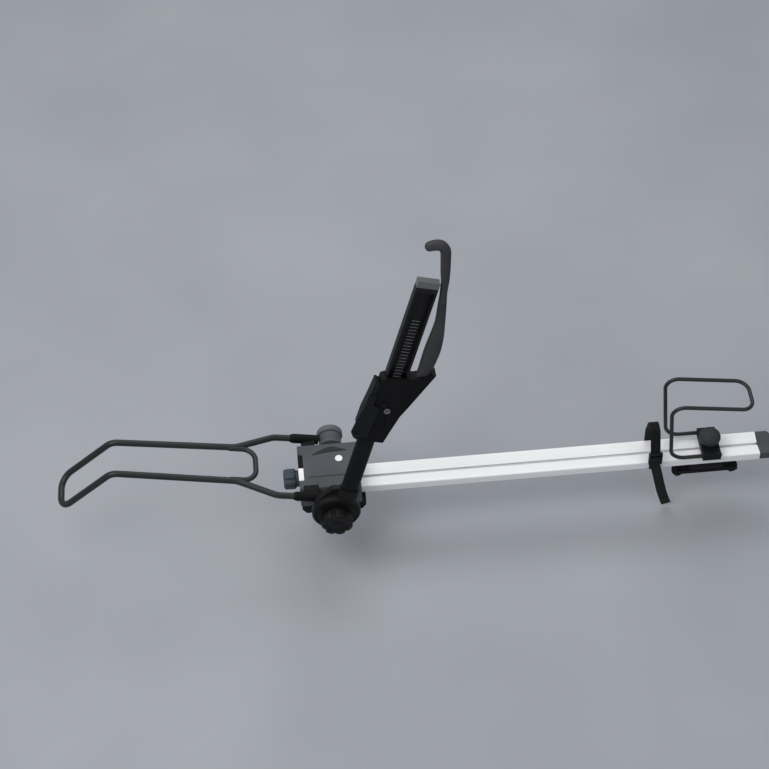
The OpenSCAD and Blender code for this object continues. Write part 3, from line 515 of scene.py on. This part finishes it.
# Section of unit size, round at power 2 and squarer above it
def round_section(sides, power=2.0):
    out = []
    for k in range(sides):
        a = 2 * math.pi * k / sides
        c = math.cos(a)
        s = math.sin(a)
        out.append((math.copysign(abs(c) ** (2 / power), c), math.copysign(abs(s) ** (2 / power), s)))
    return out


# Flat section of webbing with rounded edges
def tape_section(width, thick):
    a = thick / 2
    b = width / 2 - a
    out = []
    for k in range(7):
        t = math.pi * (k / 6 - 0.5)
        out.append((a * math.sin(t), b + a * math.cos(t)))
    return out + [(-c, -s) for c, s in out]


# Faces between rings of points, closed at both ends or joined into a loop
def bands(rings, sides, loop=False):
    faces = []
    for i in range(rings if loop else rings - 1):
        j = (i + 1) % rings
        for k in range(sides):
            m = (k + 1) % sides
            faces.append([i * sides + k, j * sides + k, j * sides + m, i * sides + m])
    if not loop:
        faces.append(list(range(sides)))
        faces.append([(rings - 1) * sides + k for k in range(sides)])
    return faces


def domed(ring, way, steps):
    at, normal, side, deep, wide = ring
    out = []
    for k in steps:
        a = math.pi / 2 * k / DOME_STEPS * DOME_REACH
        middle = at + way * min(deep, wide) * math.sin(a)
        out.append((middle, normal, side, deep * math.cos(a), wide * math.cos(a)))
    return out


# Section carried along a path, with its own depth and width at every point
def sweep(path, deep, wide, start, section, loop=False, dome=NO_DOME):
    count = len(path)
    way = []
    for i in range(count):
        if loop:
            way.append((path[(i + 1) % count] - path[i - 1]).normalized())
        else:
            before = (path[max(i, 1)] - path[max(i, 1) - 1]).normalized()
            after = (path[i + 1] - path[i]).normalized() if i < count - 1 else before
            way.append((before + after).normalized())
    normal = Vector(start)
    rings = []
    for i in range(count):
        normal = (normal - way[i] * normal.dot(way[i])).normalized()
        rings.append((path[i], normal.copy(), way[i].cross(normal), deep[i], wide[i]))
    if dome[0]:
        rings = domed(rings[0], -way[0], range(DOME_STEPS, 0, -1)) + rings
    if dome[1]:
        rings = rings + domed(rings[-1], way[-1], range(1, DOME_STEPS + 1))
    verts = [at + n * (d * c) + side * (w * s) for at, n, side, d, w in rings for c, s in section]
    return verts, bands(len(rings), len(section), loop)


# Sweep of one size from end to end
def rod(path, deep, wide, start, section, loop=False, dome=NO_DOME):
    count = len(path)
    return sweep(path, [deep] * count, [wide] * count, start, section, loop, dome)


def ribbon(path, width, thick, start, loop=False):
    return rod(path, 1.0, 1.0, start, tape_section(width, thick), loop)


# Turned form from pairs of radius and height
def lathe(profile, sides, ripple=None, loop=False):
    verts = []
    for step, (r, z) in enumerate(profile):
        for k in range(sides):
            a = 2 * math.pi * k / sides
            q = r - (ripple(a, step) if ripple else 0.0)
            verts.append((q * math.cos(a), q * math.sin(a), z))
    return verts, bands(len(profile), sides, loop)


# Turned form with grip hollows, from rows of radius, height and share of the hollow's depth
def fluted(profile, sides, lobes, depth, power):
    def hollow(angle, step):
        return depth * profile[step][2] * (0.5 + 0.5 * math.cos(lobes * angle)) ** power
    return lathe([row[:2] for row in profile], sides, hollow)


# Places of the joints, and the frame of the leaning arm

anchor = {}
for joint in frame["record"]["behaviour"]["joints"]:
    anchor[joint["name"]] = joint.get("pos_m")
AXLE_X, ARM_Y, AXLE_Z = anchor["arm_fold"]
ARM_BACK = Matrix.Rotation(math.radians(17), 4, "Y")
ARM_INWARD = Matrix.Rotation(math.radians(-7.5), 4, "X")
ARM = Matrix.Translation((AXLE_X, ARM_Y, AXLE_Z)) @ ARM_BACK @ ARM_INWARD @ MILLI
CASING_LOW = 234
TO_NEAR = Matrix.Rotation(math.radians(90), 4, "X")
TO_FAR = Matrix.Rotation(math.radians(-90), 4, "X")
TO_FRONT = Matrix.Rotation(math.radians(-90), 4, "Y")


# Front hoop, its cross loop and the weld beads

HOOP_R = 7.5
LOOP_R = 6.0
HOOP_RISE = math.tan(math.radians(12))
SOCKET_X = -77
SOCKET_Z = 76.6
HOOP_PLAN = [(-31, 85), (-128, 85), (-216, 49), (-492, 45)]
HOOP_TIP = (-620, 45, 52)
HOOP_BENDS = [45, 50, 30, 32]
LOOP_PLAN = [(-228, 45), (-172, 45)]
LOOP_BENDS = [30]
BEAD_POINTS = 22
BEAD_X = -226
BEAD_STEP = 1.2
BEAD_Y = 47.5
BEAD_DRIFT = 0.06
BEAD_Z = 5.6
BEAD_R = 1.5
BEAD_SWELL = 0.9
BEAD_RIPPLE = 0.35
BEAD_PACE = 2.1
ROUND = round_section(28)


def rail_z(x):
    return SOCKET_Z + (SOCKET_X - x) * HOOP_RISE


def on_rail(plan):
    return [(x, y, rail_z(x)) for x, y in plan]


def weld_bead(side, rise):
    line = []
    fat = []
    for i in range(BEAD_POINTS):
        x = BEAD_X + BEAD_STEP * i
        swell = BEAD_SWELL * math.sin(math.pi * i / (BEAD_POINTS - 1))
        line.append(Vector((x, side * (BEAD_Y + BEAD_DRIFT * i), rail_z(x) + rise * BEAD_Z)))
        fat.append(BEAD_R + swell + BEAD_RIPPLE * math.sin(i * BEAD_PACE))
    return sweep(line, fat, fat, UP, round_section(10), dome=TWO_DOMES)


path = hoop_path(on_rail(HOOP_PLAN) + [HOOP_TIP], HOOP_BENDS)
shape = rod(path, HOOP_R, HOOP_R, UP, ROUND)
piece("front_hoop_rod", shape, MILLI, "rod_black", "carrier", "front_hoop")
path = hoop_path(on_rail(LOOP_PLAN), LOOP_BENDS)
shape = rod(path, LOOP_R, LOOP_R, UP, ROUND, dome=TWO_DOMES)
piece("hoop_cross_loop", shape, MILLI, "rod_black", "carrier", "hoop_cross_rod")
beads = [weld_bead(side, rise) for side in (-1, 1) for rise in (-1, 1)]
piece("hoop_welds", merge(*beads), MILLI, "rod_black", "carrier")


# Rear hoop

REAR_R = 4.5
REAR_SIDE = [(897, 35, 38), (782, 35, 38), (767, 43, 231), (957, 43, 199)]
REAR_BENDS = [34, 26, 28]

shape = rod(hoop_path(REAR_SIDE, REAR_BENDS), REAR_R, REAR_R, UP, ROUND, dome=TWO_DOMES)
piece("rear_hoop_rod", shape, MILLI, "rod_black", "rear_loop", "rear_hoop")


# Hook with its moulded coat and the parting seam of the mould

# Rows of x, y, height above the casing's foot, half width and half depth
HOOK = [
    (72, 0, 164, 10, 7.5),
    (78, 0, 182, 12, 8),
    (84, 0, 206, 15, 9),
    (85.5, 0, 259, 18, 10),
    (84.5, 0.5, 300, 15.6, 9.5),
    (81, 1, 339, 11.3, 8.5),
    (74, 1, 378, 9.6, 7.5),
    (66.5, 1, 418, 7.8, 7.5),
    (61, 1, 449, 8.8, 7.5),
    (54.8, 1, 473, 10.2, 7.5),
    (46.5, 1, 504, 10.7, 8),
    (41, 3, 522, 11, 9),
    (30, 5, 531, 11.3, 10),
    (18, 7, 529, 11, 10),
    (7, 8, 523, 10, 9.5),
]
HOOK_Y = -12
HOOK_STEPS = 10
HOOK_SECTION = round_section(40, 2.6)
SEAM_FROM = 24
SEAM_SHORT = 4
SEAM_SINK = 0.15
SEAM_DEEP = 0.9
SEAM_WIDE = 0.5

path = smooth([Vector((row[0], row[1] + HOOK_Y, row[2] + CASING_LOW)) for row in HOOK], HOOK_STEPS)
hook_wide = smooth([row[3] for row in HOOK], HOOK_STEPS)
hook_deep = smooth([row[4] for row in HOOK], HOOK_STEPS)
shape = sweep(path, hook_deep, hook_wide, FAR, HOOK_SECTION, dome=END_DOME)
piece("hook_body", shape, ARM, "rubber_black", "arm", "hook", sharp=SOFT_SHARP, material=HOOK_COAT)
seams = []
for side in (-1, 1):
    line = []
    for i in range(SEAM_FROM, len(path) - SEAM_SHORT):
        along = (path[i + 1] - path[i - 1]).normalized()
        across = along.cross(Vector(FAR)).normalized()
        line.append(path[i] + across * (side * (hook_wide[i] - SEAM_SINK)))
    seams.append(rod(line, SEAM_DEEP, SEAM_WIDE, FAR, round_section(8), dome=TWO_DOMES))
piece("hook_seam", merge(*seams), ARM, "rubber_black", "arm", material=HOOK_COAT)


# Knobs, each set on the face where its node starts

TORQUE_KNOB = [
    (28, 0, 0), (28, 6.6, 0), (30, 7.2, 0), (34, 8.2, 0.8), (35.6, 9.6, 1), (36, 11.5, 1),
    (36, 17, 1), (36, 23, 1), (35.6, 25.5, 1), (34.4, 27.6, 0.95), (32.2, 29.2, 0.8), (29, 30, 0.5),
    (24.5, 29.9, 0), (23.6, 29.2, 0), (23, 28.2, 0), (20, 27.8, 0), (8, 27.6, 0), (0.4, 27.6, 0),
]
TORQUE_BUTTON = [(9, 27.4), (9, 28.6), (8.4, 29.2), (7, 29.4), (0.3, 29.5)]
CLAMP_KNOB = [
    (13, 0, 0), (18.5, 0, 0), (19, 0.6, 0), (19, 9, 0), (21, 9.6, 0.6), (23.2, 10.8, 0.9),
    (24, 12.6, 1), (24, 22, 1), (24, 31, 1), (23.6, 34, 1), (22.4, 36.2, 0.85), (20, 37.6, 0.6),
    (17, 38, 0), (14.5, 37.9, 0), (14, 37.3, 0), (13.6, 36.6, 0), (6, 36.4, 0), (0.4, 36.4, 0),
]
HOOP_KNOB = [
    (19, 0, 0), (22, 0, 0), (23.2, 1, 0), (24, 4, 0.6), (25, 7, 1), (25, 9, 1), (25, 12, 1),
    (24.7, 13, 0), (24, 13.4, 0), (23.9, 14, 0), (24.3, 14.6, 0), (23.6, 17, 0), (21.6, 19.8, 0),
    (18, 22.2, 0), (13, 24, 0), (7, 24.8, 0), (0.4, 25, 0),
]

shape = fluted(TORQUE_KNOB, sides=168, lobes=7, depth=6.0, power=3.0)
shape = merge(shape, lathe(TORQUE_BUTTON, sides=48))
face_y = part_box("torque_knob")[1].y
where = Matrix.Translation((AXLE_X, face_y, AXLE_Z)) @ TO_NEAR @ MILLI
piece("torque_knob_body", shape, where, slot_of["torque_knob"], "arm_knob", "torque_knob", material=HUB)

shape = fluted(CLAMP_KNOB, sides=160, lobes=8, depth=3.4, power=2.4)
face_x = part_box("clamp_knob")[1].x
where = Matrix.Translation((face_x, 0, anchor["front_knob_turn"][2])) @ TO_FRONT @ MILLI
piece("clamp_knob_body", shape, where, slot_of["clamp_knob"], "front_knob", "clamp_knob")

shape = fluted(HOOP_KNOB, sides=192, lobes=24, depth=0.8, power=1.0)
face_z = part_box("hoop_knob")[0].z
where = Matrix.Translation((anchor["rear_loop_knob_turn"][0], 0, face_z)) @ MILLI
piece("hoop_knob_body", shape, where, slot_of["hoop_knob"], "rear_loop_knob", "hoop_knob",
      material=KNOB_DARK)


# Screw heads with a six sided socket

SCREW_Y = -26
SCREW_SIDES = 60
SCREW_SHARP = 30.0
SHANK = [(2.5, -4.0), (2.5, 0.2)]
SOCKET_SHARE = 0.7


def hexagon(angle, size):
    b = (angle + math.pi / 6) % (math.pi / 3) - math.pi / 6
    return size * math.cos(math.pi / 6) / math.cos(b)


def socket_head(radius, height, key):
    # Rows of radius, height and whether the ring has six sides
    rings = [
        (radius, 0, False),
        (radius, height - 0.9, False),
        (radius - 0.3, height - 0.3, False),
        (radius - 0.9, height, False),
        (key + 0.25, height, True),
        (key, height - 0.3, True),
        (key, height - height * SOCKET_SHARE, True),
    ]
    verts = []
    for q, z, six in rings:
        for k in range(SCREW_SIDES):
            a = 2 * math.pi * k / SCREW_SIDES
            d = hexagon(a, q) if six else q
            verts.append((d * math.cos(a), d * math.sin(a), z))
    return verts, bands(len(rings), SCREW_SIDES)


def pawl_screw(name, *stands_for, x, z, radius, height, key, material):
    shape = merge(socket_head(radius, height, key), lathe(SHANK, sides=24))
    where = ARM @ Matrix.Translation((x, SCREW_Y, CASING_LOW + z)) @ TO_NEAR
    piece(name, shape, where, "zinc", "arm", *stands_for, sharp=SCREW_SHARP, material=material)


pawl_screw("pawl_screw_large", "pawl_screws", x=29, z=94, radius=7.5, height=4.0, key=3.6,
           material=FINISH["zinc"])
pawl_screw("pawl_screw_small", x=19, z=108, radius=4.5, height=2.5, key=2.2, material=DARK_ZINC)


# Bezel of the key lock and ring of the hub

BEZEL = [(6.9, 0), (8.8, 0), (8.8, 0.5), (8.3, 1.0), (7.4, 1.0), (6.9, 0.6)]
LOCK_PLACE = (-12.5, -30, CASING_LOW + 130)
RING_R = 47.5
RING_DEEP = 0.9
RING_WIDE = 1.6
RING_SIDES = 96
RING_Y = -132.1 * MM

where = ARM @ Matrix.Translation(LOCK_PLACE) @ TO_NEAR
piece("lock_bezel", lathe(BEZEL, sides=64, loop=True), where, "plastic_black", "release_lever")

line = []
for k in range(RING_SIDES):
    a = 2 * math.pi * k / RING_SIDES
    line.append(Vector((RING_R * math.cos(a), RING_R * math.sin(a), 0)))
shape = rod(line, RING_DEEP, RING_WIDE, UP, round_section(10), loop=True)
where = Matrix.Translation((AXLE_X, RING_Y, AXLE_Z)) @ TO_NEAR @ MILLI
piece("hub_ring", shape, where, "plastic_black", "arm")


# Crease, tab and slot on the top of the head cover; the crease is a dark strip of painted shade

COVER_TOP = [(-61, 73), (-22, 81), (34, 84), (60, 78)]
TAB_EDGE = 0.7


def cover_z(y):
    for (y0, z0), (y1, z1) in zip(COVER_TOP, COVER_TOP[1:]):
        if y <= y1:
            return z0 + (z1 - z0) * (y - y0) / (y1 - y0)
    return COVER_TOP[-1][1]


# Closed strip that follows the cover's top, from low to high above it
def strip(x_span, ys, low, high):
    verts = []
    for x in x_span:
        for y in ys:
            verts.append((x, y, cover_z(y) + high))
            verts.append((x, y, cover_z(y) + low))
    n = len(ys)
    faces = []
    for i in range(n - 1):
        a = 2 * i
        b = 2 * n + 2 * i
        faces += [[a, a + 2, b + 2, b], [a + 1, b + 1, b + 3, a + 3]]
        faces += [[a, a + 1, a + 3, a + 2], [b, b + 2, b + 3, b + 1]]
    faces += [[0, 2 * n, 2 * n + 1, 1], [2 * n - 2, 2 * n - 1, 4 * n - 1, 4 * n - 2]]
    return verts, faces


# Thin dark strip painted as the shade along the crease of the cover
shape = strip((-54, 62), (-35.2, -34, -32.8), low=-0.6, high=0.22)
piece("cover_crease", shape, MILLI, "plastic_grey", "carrier", material=COVER_PAINTED_SHADE)
shape = strip((-76.2, -64.5), (-41, -30, -22, -9), low=-4.5, high=0.7)
round_edges(piece("cover_tab", shape, MILLI, "plastic_pale", "carrier"), TAB_EDGE)
shape = strip((-76.0, -64.6), (-8.6, 0, 10, 20, 28), low=-4.5, high=0.6)
round_edges(piece("cover_slot", shape, MILLI, "plastic_black", "carrier"), TAB_EDGE)


# Collar on the far boss of the cover

COLLAR = [
    (19.2, 0), (25.0, 0), (26.0, 1.2), (26.0, 12), (25.4, 13),
    (25.4, 15), (26.0, 16), (26.0, 28.6), (25, 30.6), (19.2, 30.6),
]
COLLAR_Y = 66 * MM

where = Matrix.Translation((AXLE_X, COLLAR_Y, AXLE_Z)) @ TO_FAR @ MILLI
piece("far_collar", lathe(COLLAR, sides=96), where, "plastic_grey", "carrier")


# Paler tips of the rack teeth: wear on the tips, with a painted highlight where the up-facing tips
# catch the light

TIP_X = (21.5, 38.5)
TIP_Y = (-11.3, -10.7)
TIP_Z = (342, 575)

bpy.context.view_layer.update()
rack = nodes["rack_bar"]
rack.data.materials.append(TOOTH_WEAR_AND_HIGHLIGHT)
to_arm = ARM.inverted() @ rack.matrix_world
for face in rack.data.polygons:
    x, y, z = to_arm @ face.center
    if TIP_X[0] < x < TIP_X[1] and TIP_Y[0] < y < TIP_Y[1] and TIP_Z[0] < z < TIP_Z[1]:
        face.material_index = 1


# Wheel strap, its tail, hem and stitches

STRAP_X = anchor["strap_cam_open"][0] / MM
STRAP_WIDE = 23
STRAP_THICK = 2.3
STRAP_STEPS = 5
# Pairs of y and z from the middle under the tray, up the far side, to the middle at the top
STRAP_HALF = [
    (0, 6.4), (18, 6.4), (31, 6.4), (34.3, 6.9), (35.5, 9.4), (35.6, 24), (35.6, 44), (35.3, 60),
    (33.6, 70), (29.0, 81), (23.5, 95), (18.6, 108), (14.8, 114), (9, 117), (0, 118),
]
TAIL_THICK = 2.2
TAIL_STEPS = 40
TAIL_Y = -41.3
TAIL_Z = 30.8
TAIL_DROP = 153
TAIL_LEAN = math.tan(math.radians(14))
TAIL_BOW = 2.4
TAIL_SLACK = 0.1
TAIL_KICK = 2.0
HEM_FROM = 34
HEM_WIDE = 22.4
HEM_THICK = 1.4
HEM_OUT = Vector((0, -1.75, 0))
STITCH_ROWS = (35.2, 36.4)
STITCH_SIDE = 5
STITCH_STEP = 1.9
STITCH_HALF = 0.6
STITCH_DEEP = 0.25
STITCH_WIDE = 0.3
STITCH_OUT = Vector((0, -2.5, 0))

outline = STRAP_HALF + [(-y, z) for y, z in STRAP_HALF[-2:0:-1]]
path = smooth([Vector((STRAP_X, y, z)) for y, z in outline], STRAP_STEPS, loop=True)
shape = ribbon(path, STRAP_WIDE, STRAP_THICK, DOWN, loop=True)
piece("strap_webbing", shape, MILLI, "webbing", "strap", "wheel_strap", sharp=SOFT_SHARP)

path = []
for i in range(TAIL_STEPS + 1):
    t = i / TAIL_STEPS
    drop = TAIL_DROP * t
    bow = math.sin(math.pi * t)
    x = STRAP_X + drop * TAIL_LEAN * (1 - TAIL_SLACK * bow)
    y = TAIL_Y - TAIL_BOW * bow + TAIL_KICK * t ** 3
    path.append(Vector((x, y, TAIL_Z - drop)))
shape = ribbon(path, STRAP_WIDE, TAIL_THICK, FAR)
piece("tail_webbing", shape, MILLI, "webbing", "strap", "strap_tail", sharp=SOFT_SHARP)
shape = ribbon([p + HEM_OUT for p in path[HEM_FROM:]], HEM_WIDE, HEM_THICK, FAR)
piece("tail_hem", shape, MILLI, "webbing", "strap", sharp=SOFT_SHARP)
stitches = []
for row in STITCH_ROWS:
    i = int(row)
    step = path[i + 1] - path[i]
    middle = path[i] + step * (row - i)
    across = step.normalized().cross(Vector(FAR)).normalized()
    for k in range(-STITCH_SIDE, STITCH_SIDE + 1):
        spot = middle + across * (k * STITCH_STEP) + STITCH_OUT
        line = [spot - across * STITCH_HALF, spot, spot + across * STITCH_HALF]
        stitches.append(rod(line, STITCH_DEEP, STITCH_WIDE, FAR, round_section(6), dome=TWO_DOMES))
piece("tail_stitches", merge(*stitches), MILLI, "webbing", "strap", material=THREAD)


# Floor

FLOOR_GAP = 0.004
FLOOR_HALF = 30

ground = Graph("floor")
tone = ground.ramp(ground.noise(2.0, detail=2.0), [(0.3, linear("#9b9ea6")), (0.7, linear("#a3a6ad"))])
ground.feed(tone, "Base Color")
ground.set("Roughness", 0.75)
floor_z = cad_box[0][2] - FLOOR_GAP
corners = [(x * FLOOR_HALF, y * FLOOR_HALF, floor_z) for x, y in ((-1, -1), (1, -1), (1, 1), (-1, 1))]
mesh = bpy.data.meshes.new("floor")
mesh.from_pydata(corners, [], [(0, 1, 2, 3)])
mesh.materials.append(ground.mat)
floor = bpy.data.objects.new("floor", mesh)
bpy.context.collection.objects.link(floor)
